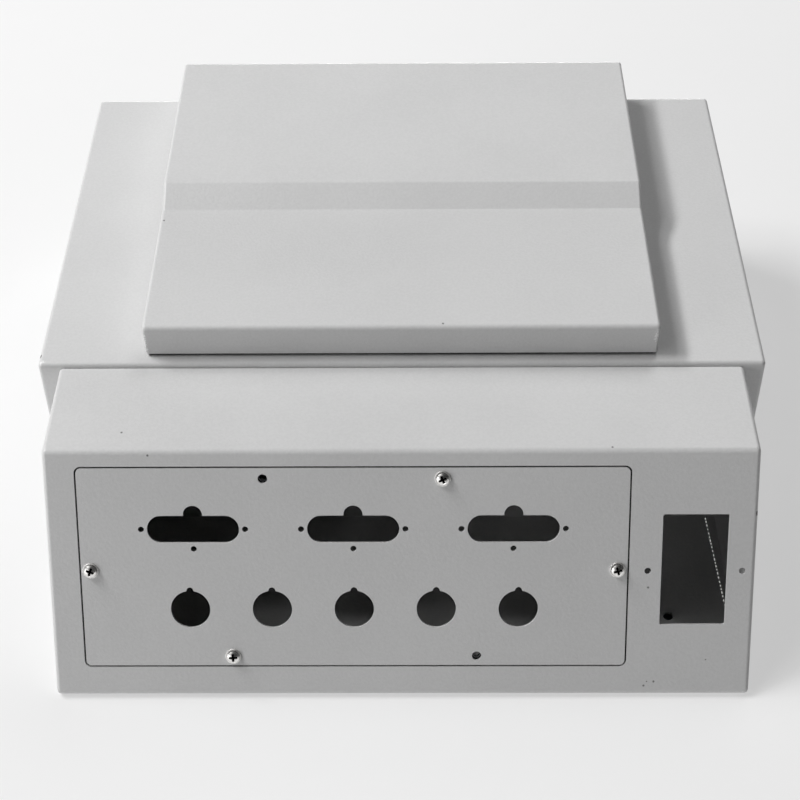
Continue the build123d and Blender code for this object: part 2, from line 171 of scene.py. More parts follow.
class ShaderKit:
    """One material's node tree, with a single way to add a node."""

    def __init__(self, name: str) -> None:
        """Starts an empty material.

        Args:
            name: the material's name.
        """
        self.material = bpy.data.materials.new(name)
        self.material.use_nodes = True
        self.tree = self.material.node_tree
        self.tree.nodes.clear()
        self.place = self.field("ShaderNodeTexCoord", {}, {}, "Object")

    def node(self, kind: str, settings: dict[str, Any], inputs: dict[Any, Any]) -> bpy.types.Node:
        """Adds a node, its settings first and then its sockets.

        Args:
            kind: the node's type.
            settings: its own properties.
            inputs: a number, a colour or a Field for each socket.

        Returns:
            The node.
        """
        made = self.tree.nodes.new(kind)
        for key, value in settings.items():
            setattr(made, key, value)
        for key, value in inputs.items():
            if isinstance(value, Field):
                self.tree.links.new(value.socket, made.inputs[key])
            else:
                made.inputs[key].default_value = value
        return made

    def field(self, kind: str, settings: dict[str, Any], inputs: dict[Any, Any], output: Any = 0) -> Field:
        """Adds a node and returns one of its outputs, by name or number."""
        return Field(self, self.node(kind, settings, inputs).outputs[output])

    def noise(
        self, size: float, detail: float = 2.0, rough: float = 0.5, place: Optional[Field] = None
    ) -> Field:
        """Cloudy noise from 0 to 1.

        Args:
            size: how far apart its spots are.
            detail: how many finer layers it has.
            rough: how strong each finer layer is.
            place: the coordinates, or None for the object's own.

        Returns:
            The noise.
        """
        inputs = {"Vector": place or self.place, "Scale": 1 / size, "Detail": detail, "Roughness": rough}
        return self.field("ShaderNodeTexNoise", {}, inputs)

    def stretched(self, scale: Triple, turn: Triple) -> Field:
        """The object's coordinates, turned in degrees and then scaled along each axis."""
        inputs = {"Vector": self.place, "Rotation": tuple(map(math.radians, turn)), "Scale": scale}
        return self.field("ShaderNodeMapping", {"vector_type": "POINT"}, inputs)

    def shares(self, centre: Triple, reach: Triple) -> Field:
        """The way from a centre to each place, along each axis as a share of that axis's reach."""
        away = self.field("ShaderNodeVectorMath", {"operation": "SUBTRACT"}, {0: self.place, 1: centre})
        return self.field("ShaderNodeVectorMath", {"operation": "DIVIDE"}, {0: away, 1: reach})

    def mixed(self, share: Value, first: Any, second: Any) -> Field:
        """A colour between first, at share 0, and second, at share 1."""
        inputs = {0: share, 6: first, 7: second}
        return self.field("ShaderNodeMix", {"data_type": "RGBA"}, inputs, 2)

    def bump(self, height: Field) -> Field:
        """The surface normal for a height in metres."""
        inputs = {"Height": height, "Distance": 1.0, "Strength": 1.0}
        return self.field("ShaderNodeBump", {}, inputs)

    def finish(self, **sockets: Any) -> bpy.types.Material:
        """Ends the tree in one Principled shader.

        Args:
            sockets: its inputs, with underscores for spaces.

        Returns:
            The material.
        """
        inputs = {key.replace("_", " "): value for key, value in sockets.items()}
        shader = self.field("ShaderNodeBsdfPrincipled", {}, inputs)
        self.node("ShaderNodeOutputMaterial", {}, {"Surface": shader})
        return self.material


def grey(level: float) -> tuple[float, float, float, float]:
    """A neutral colour of that linear level."""
    return (level, level, level, 1.0)


# Finishes


@dataclass(frozen=True)
class Mark:
    """One spot of wear: its place, and how far it reaches along X, Y and Z."""

    place: Triple
    reach: Triple

    @classmethod
    def in_mm(cls, place: Triple, reach: Triple) -> "Mark":
        """A mark whose place and reach are given in millimetres."""
        return cls(tuple(value * MM for value in place), tuple(value * MM for value in reach))


def round_marks(reach: float, *places: Triple) -> tuple[Mark, ...]:
    """Marks at places in millimetres, each with the same reach every way."""
    return tuple(Mark.in_mm(place, (reach, reach, reach)) for place in places)


@dataclass(frozen=True)
class Wear:
    """Marks of one kind, and the share of a mark's reach over which it fades."""

    marks: tuple[Mark, ...]
    soft: float

    def cover(self, kit: ShaderKit, ragged: Value) -> Field:
        """How much of each place the marks cover, from 0 to 1.

        Args:
            kit: the material's kit.
            ragged: what is added to the distance, to roughen the outline.

        Returns:
            The strongest cover.
        """
        total: Value = 0.0
        for mark in self.marks:
            share = kit.shares(mark.place, mark.reach)
            far = kit.field("ShaderNodeVectorMath", {"operation": "LENGTH"}, {0: share}, "Value") + ragged
            total = (1 - far.eased(1 - self.soft, 1 + self.soft)).at_least(total)
        return total


@dataclass(frozen=True)
class PowderCoat:
    """Light grey powder coat: fine orange peel, painted shade in the peel's hollows, a faint drift of tone,
    and the wear that the photo shows.
    """

    tone: float = 0.65
    drift_and_peel_shade_share: float = 0.035
    drift_size: float = 60 * MM
    drift_and_peel_shade_band: tuple[float, float] = (0.3, 0.7)
    peel_shade_weight: float = 0.6
    roughness: float = 0.39
    gloss_drift: float = 0.12
    sheen: float = 0.4
    peel_size: float = 1.7 * MM
    peel_height: float = 0.13 * MM
    ragged_size: float = 0.5 * MM
    ragged_reach: float = 1.2
    rub_size: float = 0.8 * MM
    rub_middle: float = 0.46
    rub_contrast: float = 6.0
    pit_level: float = 0.16
    steel_level: float = 0.07
    steel_roughness: float = 0.1
    scuff_level: float = 0.86
    chip_depth: float = 0.06 * MM
    dent_depth: float = 0.25 * MM
    chips: Wear = Wear(
        (
            Mark.in_mm((-212.9, -62.0, 133.4), (0.9, 1.5, 1.2)),
            Mark.in_mm((200.1, -156.6, 99.4), (0.9, 1.6, 1.8)),
        ),
        soft=0.12,
    )
    specks: Wear = Wear(
        round_marks(
            0.6,
            (-157.2, -123.7, 132.0),
            (-141.0, -139.5, 129.8),
            (-148.0, 37.3, 156.1),
            (24.5, -59.6, 156.1),
            (117.9, -136.0, 132.0),
            (140.2, -178.2, 60.7),
            (139.6, -207.9, 7.9),
            (145.3, -206.6, 10.1),
        )
        + round_marks(0.4, (141.3, -206.6, 10.1), (174.7, -199.9, 22.0)),
        soft=0.5,
    )
    scuffs: Wear = Wear(
        (
            Mark.in_mm((148.6, -63.0, 148.5), (1.1, 0.8, 3.6)),
            Mark.in_mm((-149.6, -62.6, 143.5), (0.9, 1.0, 6.5)),
            Mark.in_mm((-211.0, -68.0, 134.0), (1.4, 1.4, 0.8)),
        ),
        soft=0.3,
    )
    dents: Wear = Wear((Mark.in_mm((-79.3, -70.3, 134.0), (5.0, 2.5, 2.5)),), soft=0.9)

    def material(self) -> bpy.types.Material:
        """Builds the finish: paint, then scuffs, specks and chips over it.

        Returns:
            The material.
        """
        kit = ShaderKit("light_grey_powder_coat")
        drift = kit.noise(self.drift_size, 3.0)
        fine = kit.noise(self.peel_size, 2.0, 0.55)
        ragged = (kit.noise(self.ragged_size) - 0.5) * self.ragged_reach
        broken = (kit.noise(self.rub_size) - self.rub_middle) * self.rub_contrast
        chipped = self.chips.cover(kit, ragged)
        pitted = self.specks.cover(kit, ragged)
        scuffed = self.scuffs.cover(kit, broken)
        dented = self.dents.cover(kit, 0.0)
        light, dark = grey(self.tone * (1 + self.drift_and_peel_shade_share)), grey(self.tone * (1 - self.drift_and_peel_shade_share))
        # The colour is darker where the peel is lower: painted shade in its hollows, mixed with a slow real
        # drift of tone.
        slow, peel_shade = drift.eased(*self.drift_and_peel_shade_band), fine.eased(*self.drift_and_peel_shade_band)
        paint = kit.mixed(slow * (1 - self.peel_shade_weight) + peel_shade * self.peel_shade_weight, dark, light)
        rubbed = kit.mixed(scuffed, paint, grey(self.scuff_level))
        pits = kit.mixed(pitted, rubbed, grey(self.pit_level))
        colour = kit.mixed(chipped, pits, grey(self.steel_level))
        height = fine * self.peel_height - chipped * self.chip_depth - dented * self.dent_depth
        return kit.finish(
            Base_Color=colour,
            Roughness=self.roughness + (fine - 0.5) * self.gloss_drift + chipped * self.steel_roughness,
            Specular_IOR_Level=self.sheen,
            Normal=kit.bump(height),
        )


@dataclass(frozen=True)
class PaintedGapShade:
    """Near-black matt coat on the ledge behind the panel: painted shade that makes the gap round the panel
    read black. A little dusty, with an uneven grain.
    """

    tone: float = 0.014
    dust: float = 0.035
    dust_size: float = 18 * MM
    grain: float = 1.2 * MM
    grain_height: float = 0.02 * MM
    roughness: float = 0.72
    sheen: float = 0.3

    def material(self) -> bpy.types.Material:
        """Builds the finish.

        Returns:
            The material.
        """
        kit = ShaderKit("painted_gap_shade")
        spray = kit.noise(self.grain, 3.0, 0.6)
        dusty = kit.noise(self.dust_size, 4.0, 0.6).eased(0.45, 0.8)
        return kit.finish(
            Base_Color=kit.mixed(dusty * 0.6 + spray * 0.2, grey(self.tone), grey(self.dust)),
            Roughness=self.roughness + dusty * 0.15,
            Specular_IOR_Level=self.sheen,
            Normal=kit.bump(spray * self.grain_height),
        )


@dataclass(frozen=True)
class PlatedSteel:
    """Plated steel: faint brushing, cloudy tarnish, painted shade that darkens the hollows, and a tone and
    gloss of its own.
    """

    name: str
    tone: Triple
    tarnish: Triple
    roughness: float
    # painted glow: emission for a piece that is no lamp
    painted_glow: float = 0.0
    cloud_size: float = 2.5 * MM
    brushing: float = 0.004 * MM
    brush_scale: Triple = (900.0, 5200.0, 5200.0)
    brush_turn: Triple = (12.0, 0.0, 20.0)
    # the colour that the painted shade darkens to
    painted_shade_level: float = 0.01

    def material(self) -> bpy.types.Material:
        """Builds the finish.

        Returns:
            The material.
        """
        kit = ShaderKit(self.name)
        cloud = kit.noise(self.cloud_size, 4.0, 0.6).eased(0.45, 0.75)
        lines = kit.noise(1.0, 3.0, 0.6, kit.stretched(self.brush_scale, self.brush_turn))
        plate = kit.mixed(cloud * 0.6, (*self.tone, 1), (*self.tarnish, 1))
        # Painted shade: a point attribute darkens the screws' cross recesses and the joint under their heads.
        painted_shading = kit.field("ShaderNodeAttribute", {"attribute_name": "painted_shade"}, {}, "Fac").eased(0.1, 0.5)
        colour = kit.mixed(painted_shading, plate, grey(self.painted_shade_level))
        return kit.finish(
            Base_Color=colour,
            Metallic=1.0,
            Roughness=self.roughness + cloud * 0.14 + (lines - 0.5) * 0.08 + painted_shading * 0.4,
            Emission_Color=colour,
            Emission_Strength=self.painted_glow,
            Normal=kit.bump(lines * self.brushing),
        )


NICKEL = PlatedSteel("nickel_plate", (0.90, 0.89, 0.87), (0.66, 0.65, 0.63), 0.33)
BRIGHT_NICKEL = PlatedSteel("bright_nickel", (0.95, 0.94, 0.92), (0.80, 0.79, 0.77), 0.48)
ZINC = PlatedSteel("zinc_plate", (0.62, 0.63, 0.66), (0.38, 0.38, 0.38), 0.34)
# The seam's metal glows: a painted glow that stands for light through the seam.
PAINTED_GLOW_SEAM = PlatedSteel("painted_glow_seam", (0.80, 0.79, 0.77), (0.60, 0.60, 0.60), 0.3, painted_glow=0.6)
HINGE_STEEL = PlatedSteel("hinge_steel", (0.50, 0.50, 0.51), (0.30, 0.30, 0.30), 0.38)


@dataclass(frozen=True)
class CellRubber:
    """Black cellular rubber: matt, with a fine open grain and a little dust."""

    tone: float = 0.012
    dust: float = 0.05
    dust_size: float = 14 * MM
    grain: float = 0.7 * MM
    grain_height: float = 0.08 * MM
    roughness: float = 0.82
    sheen: float = 0.3

    def material(self) -> bpy.types.Material:
        """Builds the finish.

        Returns:
            The material.
        """
        kit = ShaderKit("black_cell_rubber")
        cells = kit.noise(self.grain, 3.0, 0.65)
        dusty = kit.noise(self.dust_size, 4.0, 0.6).eased(0.5, 0.8)
        return kit.finish(
            Base_Color=kit.mixed(dusty * 0.5, grey(self.tone), grey(self.dust)),
            Roughness=self.roughness + dusty * 0.1,
            Specular_IOR_Level=self.sheen,
            Normal=kit.bump(cells * self.grain_height),
        )


# Surfaces


@dataclass
class Surface:
    """Points on a grid of two parameters, the ways in which the grid closes, and the painted shade in its
    hollows.
    """

    points: np.ndarray
    wrap_rows: bool = False
    wrap_columns: bool = True
    painted_shade: Optional[np.ndarray] = None

    def painted_shade_values(self) -> np.ndarray:
        """How much painted shade each point carries, from 0 to 1."""
        return np.zeros(self.points[..., 0].size) if self.painted_shade is None else self.painted_shade.ravel()

    def quads(self, first: int) -> np.ndarray:
        """Corner numbers of the grid's faces.

        Args:
            first: the number of the grid's first point.

        Returns:
            One row of four numbers for each face.
        """
        rows, columns = self.points.shape[:2]
        row = np.arange(rows if self.wrap_rows else rows - 1)[:, None]
        column = np.arange(columns if self.wrap_columns else columns - 1)[None, :]
        next_row, next_column = (row + 1) % rows, (column + 1) % columns
        corners = [(row, column), (row, next_column), (next_row, next_column), (next_row, column)]
        numbers = [first + r * columns + c for r, c in corners]
        return np.stack(numbers, axis=-1).reshape(-1, 4)


@dataclass
class Placement:
    """A plane of the part: where its origin is, and which ways right, up and out lie."""

    origin: np.ndarray
    right: np.ndarray
    up: np.ndarray

    @property
    def axes(self) -> np.ndarray:
        """The three directions as rows: right, up and out."""
        return np.stack([self.right, self.up, np.cross(self.right, self.up)])

    def world(self, points: np.ndarray) -> np.ndarray:
        """Carries the plane's own points to the part's frame: origin + x·right + y·up + z·out."""
        return self.origin + points @ self.axes

    def local(self, points: np.ndarray) -> np.ndarray:
        """Carries points of the part's frame to this plane."""
        return (points - self.origin) @ self.axes.T


def node_points(node: str) -> tuple[np.ndarray, np.ndarray]:
    """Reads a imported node's mesh.

    Args:
        node: the node's name.

    Returns:
        Its points and its triangles' corner numbers.
    """
    mesh = frame["nodes"][node].data
    points = np.empty(len(mesh.vertices) * 3)
    mesh.vertices.foreach_get("co", points)
    corners = np.empty(len(mesh.loops), dtype=int)
    mesh.loops.foreach_get("vertex_index", corners)
    return points.reshape(-1, 3), corners.reshape(-1, 3)


def solids_of(node: str, placement: Placement) -> list[tuple[np.ndarray, np.ndarray]]:
    """Finds each separate solid of a node, as lowest and highest corners in a plane's own axes.

    Points at one place are joined, and the lowest number in each triangle spreads until nothing changes.

    Args:
        node: the node's name.
        placement: the plane.

    Returns:
        The corners of each solid's box.
    """
    points, triangles = node_points(node)
    _, same = np.unique(np.round(points / SAME_PLACE).astype(int), axis=0, return_inverse=True)
    same = same.ravel()
    triangles = same[triangles]
    label = np.arange(same.max() + 1)
    while True:
        spread = label.copy()
        lowest = label[triangles].min(axis=1)
        for corner in range(3):
            np.minimum.at(spread, triangles[:, corner], lowest)
        if np.array_equal(spread, label):
            break
        label = spread
    local = placement.local(points)
    owner = label[same]
    return [(local[owner == k].min(0), local[owner == k].max(0)) for k in np.unique(owner)]


def signed_power(value: np.ndarray, power: float) -> np.ndarray:
    """Raises the size of a value to a power and keeps its sign."""
    return np.sign(value) * np.abs(value) ** power


def ramp(value: np.ndarray) -> np.ndarray:
    """A smooth rise from 0 at 0 to 1 at 1: 3t² − 2t³."""
    t = np.clip(value, 0, 1)
    return t * t * (3 - 2 * t)


def around(count: int) -> np.ndarray:
    """Angles evenly round a circle."""
    return np.arange(count) * (2 * math.pi / count)


def turned(profile: Sequence[tuple[float, float]], angles: np.ndarray) -> np.ndarray:
    """Turns a profile of radius and height about the Z axis: x = r·cos a, y = r·sin a.

    Args:
        profile: radius and height pairs.
        angles: the columns' angles.

    Returns:
        Points, a row for each pair.
    """
    radius, height = np.asarray(profile, float).T[:, :, None]
    rise = np.broadcast_to(height, (len(profile), len(angles)))
    return np.stack([radius * np.cos(angles), radius * np.sin(angles), rise], axis=-1)


def threaded(crest: float, pitch: float, low: float, high: float, angles: np.ndarray) -> np.ndarray:
    """A screw thread along Z: the radius falls from crest to root as a triangle wave of height and angle.

    Args:
        crest: the outer radius.
        pitch: the rise of one turn.
        low: the thread's lower end.
        high: its upper end.
        angles: the columns' angles.

    Returns:
        Points, rows from high to low.
    """
    rows = max(2, round((high - low) / pitch * THREAD_ROWS))
    height = np.linspace(high, low, rows)[:, None]
    wave = np.abs(2 * np.mod(height / pitch - angles / (2 * math.pi), 1) - 1)
    ends = ramp((height - low) / pitch)
    radius = crest - pitch * THREAD_DEPTH * (1 - wave * ends)
    return np.stack([radius * np.cos(angles), radius * np.sin(angles), height + 0 * angles], axis=-1)


def hexagon(flats: float, height: float, bore: float, face_share: float = 0.95) -> np.ndarray:
    """A hexagon nut: radius (flats / 2) / cos of the angle from a flat's middle, corners cut by 30° cones.

    Args:
        flats: the distance across flats.
        height: the nut's height, from Z 0.
        bore: the radius of its bore.
        face_share: the flat face's width, as a share of the flats.

    Returns:
        Points of a closed ring, rows round its section.
    """
    angles = around(ROUND_COLUMNS)
    side = math.pi / 3
    outer = flats / 2 / np.cos(np.mod(angles, side) - side / 2)
    face = np.full(len(angles), flats / 2 * face_share)
    cut = (outer - face) * math.tan(math.pi / 6)
    rim = np.full(len(angles), bore)
    lead = rim * 0.12
    flat = 0 * cut
    radius = np.stack([rim, rim + lead, face, outer, outer, face, rim + lead, rim])
    rise = np.stack([lead, flat, flat, cut, height - cut, height + flat, height + flat, height - lead])
    return np.stack([radius * np.cos(angles), radius * np.sin(angles), rise], axis=-1)


def ring(inner: float, outer: float, thickness: float, power: float = 0.3) -> np.ndarray:
    """A washer with rounded edges: a superellipse section carried round the axis.

    Args:
        inner: the radius of its hole.
        outer: its outer radius.
        thickness: its height, from Z 0.
        power: the superellipse's exponent, squarer as it falls.

    Returns:
        Points of a closed ring, rows round its section.
    """
    t = around(20)
    middle, half = (inner + outer) / 2, (outer - inner) / 2
    radius = middle + half * signed_power(np.cos(t), power)
    height = thickness / 2 * (1 + signed_power(np.sin(t), power))
    return turned(np.stack([radius, height], axis=-1), around(64))


def make_piece(
    name: str,
    surfaces: Sequence[Surface],
    material: bpy.types.Material,
    body: Body,
    replaces: Sequence[str] = (),
    crease: float = 38.0,
) -> bpy.types.Object:
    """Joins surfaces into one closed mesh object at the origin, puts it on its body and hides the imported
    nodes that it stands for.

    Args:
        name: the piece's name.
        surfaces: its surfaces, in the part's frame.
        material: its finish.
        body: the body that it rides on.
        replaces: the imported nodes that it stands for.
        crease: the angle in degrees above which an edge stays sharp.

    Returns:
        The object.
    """
    counts = [surface.points.shape[0] * surface.points.shape[1] for surface in surfaces]
    starts = np.concatenate([[0], np.cumsum(counts)[:-1]])
    points = np.concatenate([surface.points.reshape(-1, 3) for surface in surfaces])
    quads = np.concatenate([surface.quads(int(start)) for surface, start in zip(surfaces, starts)])
    mesh = bpy.data.meshes.new(name)
    mesh.from_pydata(points.tolist(), [], quads.tolist())
    # Painted shade for recesses and joints, carried on the points as an attribute.
    painted_shade = np.concatenate([surface.painted_shade_values() for surface in surfaces])
    mesh.attributes.new("painted_shade", "FLOAT", "POINT").data.foreach_set("value", painted_shade)
    shape = bmesh.new()
    shape.from_mesh(mesh)
    bmesh.ops.remove_doubles(shape, verts=shape.verts, dist=JOIN_REACH)
    bmesh.ops.recalc_face_normals(shape, faces=shape.faces)
    shape.to_mesh(mesh)
    shape.free()
    mesh.polygons.foreach_set("use_smooth", np.ones(len(mesh.polygons), dtype=bool))
    mesh.set_sharp_from_angle(angle=math.radians(crease))
    mesh.materials.append(material)
    piece = bpy.data.objects.new(name, mesh)
    bpy.context.scene.collection.objects.link(piece)
    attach(piece, body.value)
    if replaces:
        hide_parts(*replaces)
    LOG.info("%s: %d faces on %s", name, len(mesh.polygons), body.value)
    return piece


def dress(nodes: Sequence[str], material: bpy.types.Material) -> None:
    """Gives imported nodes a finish.

    Args:
        nodes: the nodes' names.
        material: the finish.
    """
    for node in nodes:
        for slot in frame["nodes"][node].material_slots:
            slot.link = "DATA"
            slot.material = material
        LOG.info("%s: dressed in %s", node, material.name)


# The part's planes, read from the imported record


def mount(name: str) -> dict[str, Any]:
    """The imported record's mount of that name."""
    return next(m for m in frame["record"]["mounts"] if m["name"] == name)


def panel_plane() -> Placement:
    """Finds the connector panel's outer face, from the middle of its middle round hole.

    Returns:
        The plane.
    """
    hole = mount("socket_hole_3")
    out = np.array(hole["axis"], float)
    right = np.array([1.0, 0.0, 0.0])
    origin = np.array(hole["pos_m"]) + out * hole["dims"]["length_mm"] * MM / 2
    return Placement(origin, right, np.cross(out, right))


def flat_plane(height: float) -> Placement:
    """A level plane at that height."""
    return Placement(np.array([0.0, 0.0, height]), np.array([1.0, 0.0, 0.0]), np.array([0.0, 1.0, 0.0]))


def wall_plane(depth: float, facing_back: bool) -> Placement:
    """An upright plane across the part, at a depth along Y, that faces the back or the front."""
    side = -1.0 if facing_back else 1.0
    return Placement(np.array([0.0, depth, 0.0]), np.array([side, 0.0, 0.0]), np.array([0.0, 0.0, 1.0]))


# Sub-assemblies


@dataclass
class Fasteners:
    """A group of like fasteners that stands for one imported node, each on its own solid's axis."""

    node: str
    placement: Placement
    shape: Callable[[float], list[Surface]]
    finish: bpy.types.Material
    slot: Slot
    body: Body = Body.HOUSING
    turns: Sequence[float] = (0.0,)

    def build(self) -> bpy.types.Object:
        """Puts one fastener at each solid, from its lowest height, turned by its own angle in degrees.

        Returns:
            The group, as one piece.
        """
        surfaces = []
        for number, (low, high) in enumerate(solids_of(self.node, self.placement)):
            turn = math.radians(self.turns[number % len(self.turns)])
            cosine, sine = math.cos(turn), math.sin(turn)
            spin = np.array([[cosine, sine, 0], [-sine, cosine, 0], [0, 0, 1]])
            middle = np.append((low[:2] + high[:2]) / 2, low[2])
            for surface in self.shape(high[2] - low[2]):
                points = self.placement.world(surface.points @ spin + middle)
                surfaces.append(Surface(points, surface.wrap_rows, surface.wrap_columns, surface.painted_shade))
        name = f"{self.node}_detail"
        return make_piece(name, surfaces, self.finish, self.body, [self.node])


@dataclass(frozen=True)
class CrossRecess:
    """A cross recess with tapered arms, in the round face of a screw."""

    arm_width: float = 1.2 * MM
    arm_reach: float = 2.5 * MM
    arm_taper: float = 0.6 * MM
    arm_wall: float = 0.22 * MM
    depth: float = 1.9 * MM
    cells: int = 65

    def arm(self, along: np.ndarray, across: np.ndarray) -> np.ndarray:
        """Depth share of one arm: a ramp in from its sides, times a longer ramp in from its ends."""
        sides = ramp((self.arm_width / 2 + self.arm_wall / 2 - np.abs(across)) / self.arm_wall)
        return sides * ramp((self.arm_reach - np.abs(along)) / self.arm_taper)

    def disc(self, radius: float) -> tuple[np.ndarray, np.ndarray, np.ndarray, np.ndarray]:
        """Spreads a square grid u, v over a disc: x = R·u·√(1 − v²/2) and y = R·v·√(1 − u²/2).

        Args:
            radius: the disc's radius R.

        Returns:
            Each point's x, y and share of the cross's depth, and the angles of the points on the rim.
        """
        steps = np.linspace(-1, 1, self.cells)
        u, v = np.meshgrid(steps, steps, indexing="ij")
        x = radius * u * np.sqrt(1 - v**2 / 2)
        y = radius * v * np.sqrt(1 - u**2 / 2)
        rim_x, rim_y = (np.concatenate([k[0, :-1], k[:-1, -1], k[-1, :0:-1], k[:0:-1, 0]]) for k in (x, y))
        return x, y, np.maximum(self.arm(x, y), self.arm(y, x)), np.arctan2(rim_y, rim_x)


@dataclass(frozen=True)
class PanHead:
    """A pan-head screw with a cross recess and a threaded shank, with painted shade in the recess and under
    the head.
    """

    head_radius: float = 3.5 * MM
    head_height: float = 2.4 * MM
    shoulder: float = 1.3 * MM
    edge: float = 0.2 * MM
    shank_radius: float = 2.0 * MM
    pitch: float = 0.7 * MM
    tip: float = 0.4 * MM
    # painted shade down the head's side wall, none at its top and full at its foot by the washer
    side_painted_shade: Triple = (0.0, 0.7, 1.0)
    recess: CrossRecess = CrossRecess()

    def shape(self, length: float) -> list[Surface]:
        """The head, a domed disc less its cross, and the shank below it.

        Args:
            length: from the shank's end to the top of the head.

        Returns:
            The screw's surfaces, the shank's end at Z 0.
        """
        seat = length - self.head_height
        x, y, cross, angles = self.recess.disc(self.head_radius)
        drop = self.head_height - self.shoulder
        bow = (self.head_radius**2 + drop**2) / (2 * drop)
        dome = length - bow + np.sqrt(np.maximum(bow**2 - x**2 - y**2, 0))
        top = np.stack([x, y, dome - self.recess.depth * cross], axis=-1)
        radius, foot = self.head_radius, self.head_radius - self.edge
        side = [(radius, seat + self.shoulder), (radius, seat + self.edge), (foot, seat)]
        coarse = around(SHANK_COLUMNS)
        shank = threaded(self.shank_radius, self.pitch, self.tip, seat, coarse)
        tip = [(self.shank_radius * 0.7, self.tip), (self.shank_radius * 0.6, 0), (0, 0)]
        return [
            # the cross recess and the foot of the head carry painted shade
            Surface(top, wrap_columns=False, painted_shade=cross),
            Surface(turned(side, angles), painted_shade=np.outer(self.side_painted_shade, np.ones(len(angles)))),
            Surface(turned([(foot, seat), (0, seat)], angles)),
            Surface(shank),
            Surface(turned(tip, coarse)),
        ]


@dataclass(frozen=True)
class SunkHead:
    """A countersunk screw, head down, with a cross recess."""

    head_radius: float = 3.75 * MM
    edge: float = 0.15 * MM
    shank_radius: float = 2.0 * MM
    pitch: float = 0.7 * MM
    tip: float = 0.4 * MM
    recess: CrossRecess = CrossRecess()

    def shape(self, length: float) -> list[Surface]:
        """A flat disc less its cross, a cone and a threaded shank, the head's face at Z 0.

        Args:
            length: from the head's face to the shank's end.

        Returns:
            The screw's surfaces.
        """
        x, y, cross, angles = self.recess.disc(self.head_radius)
        face = np.stack([x, y, self.recess.depth * cross], axis=-1)
        cone = self.head_radius - self.shank_radius
        side = [(self.head_radius, 0), (self.head_radius, self.edge), (self.shank_radius, cone)]
        coarse = around(SHANK_COLUMNS)
        end = length - self.tip
        shank = threaded(self.shank_radius, self.pitch, cone, end, coarse)
        tip = [(self.shank_radius * 0.8, end), (self.shank_radius * 0.6, length), (0, length)]
        return [
            # the cross recess carries painted shade
            Surface(face, wrap_columns=False, painted_shade=cross),
            Surface(turned(side, angles)),
            Surface(shank),
            Surface(turned(tip, coarse)),
        ]


@dataclass(frozen=True)
class HexNut:
    """A hexagon nut."""

    flats: float
    bore: float

    def shape(self, length: float) -> list[Surface]:
        """The nut, standing on its face."""
        return [Surface(hexagon(self.flats, length, self.bore), wrap_rows=True)]


@dataclass(frozen=True)
class Washer:
    """A plain washer with rounded edges."""

    inner: float
    outer: float

    def shape(self, length: float) -> list[Surface]:
        """The washer, lying on its face."""
        return [Surface(ring(self.inner, self.outer, length), wrap_rows=True)]


@dataclass(frozen=True)
class HexBolt:
    """A hexagon bolt with a threaded shank, its head uppermost."""

    flats: float = 8.0 * MM
    head_height: float = 3.5 * MM
    shank_radius: float = 2.5 * MM
    pitch: float = 0.8 * MM
    tip: float = 0.5 * MM

    def shape(self, length: float) -> list[Surface]:
        """The head over its shank.

        Args:
            length: from the shank's end to the top of the head.

        Returns:
            The bolt's surfaces, the shank's end at Z 0.
        """
        head = hexagon(self.flats, self.head_height, self.shank_radius * 0.4)
        head[..., 2] += length - self.head_height
        crown = turned([(self.shank_radius * 0.45, length), (0, length)], around(ROUND_COLUMNS))
        coarse = around(SHANK_COLUMNS)
        shank = threaded(self.shank_radius, self.pitch, self.tip, length - self.head_height, coarse)
        tip = turned([(self.shank_radius * 0.8, self.tip), (self.shank_radius * 0.65, 0), (0, 0)], coarse)
        return [Surface(head, wrap_rows=True), Surface(crown), Surface(shank), Surface(tip)]


@dataclass(frozen=True)
class BlindRivet:
    """A domed blind rivet with the broken stem in its middle."""

    shank_radius: float = 1.6 * MM
    head_radius: float = 3.2 * MM
    head_height: float = 1.0 * MM
    stem_radius: float = 0.9 * MM
    stem_depth: float = 0.35 * MM
    stem_rise: float = 0.15 * MM
    tail_radius: float = 2.5 * MM
    tail_height: float = 2.5 * MM

    def shape(self, length: float) -> list[Surface]:
        """A dome over the shank: height falls as a circle's arc from the stem's hole to the rim.

        Args:
            length: from the tail's end to the top of the dome.

        Returns:
            The rivet's surface, the tail's end at Z 0.
        """
        bow = (self.head_radius**2 + self.head_height**2) / (2 * self.head_height)
        spread = np.linspace(self.stem_radius, self.head_radius, 10)
        dome = length - bow + np.sqrt(bow**2 - spread**2)
        stem = length - self.stem_depth
        crown = [(0, stem + self.stem_rise), (self.stem_radius * 0.8, stem), (self.stem_radius, stem)]
        tail = [
            (self.shank_radius, length - self.head_height),
            (self.shank_radius, self.tail_height),
            (self.tail_radius, self.tail_height),
            (self.tail_radius, self.tail_height / 2),
            (self.shank_radius, 0),
            (0, 0),
        ]
        return [Surface(turned([*crown, *zip(spread, dome), *tail], around(ROUND_COLUMNS)))]


@dataclass(frozen=True)
class Stud:
    """A threaded stud with a welded foot."""

    radius: float = 3.0 * MM
    foot_radius: float = 4.0 * MM
    foot_height: float = 0.8 * MM
    pitch: float = 1.0 * MM
    tip: float = 0.6 * MM
    columns: int = 36

    def shape(self, length: float) -> list[Surface]:
        """The thread over its foot, and a chamfered end.

        Args:
            length: from the foot to the stud's end.

        Returns:
            The stud's surfaces, the foot at Z 0.
        """
        angles = around(self.columns)
        end = length - self.tip
        weld = (self.foot_radius, self.foot_height * 0.6)
        foot = [(0, 0), (self.foot_radius, 0), weld, (self.radius, self.foot_height)]
        thread = threaded(self.radius, self.pitch, self.foot_height, end, angles)
        tip = [(self.radius * 0.8, end), (self.radius * 0.7, length), (0, length)]
        return [Surface(turned(foot, angles)), Surface(thread), Surface(turned(tip, angles))]


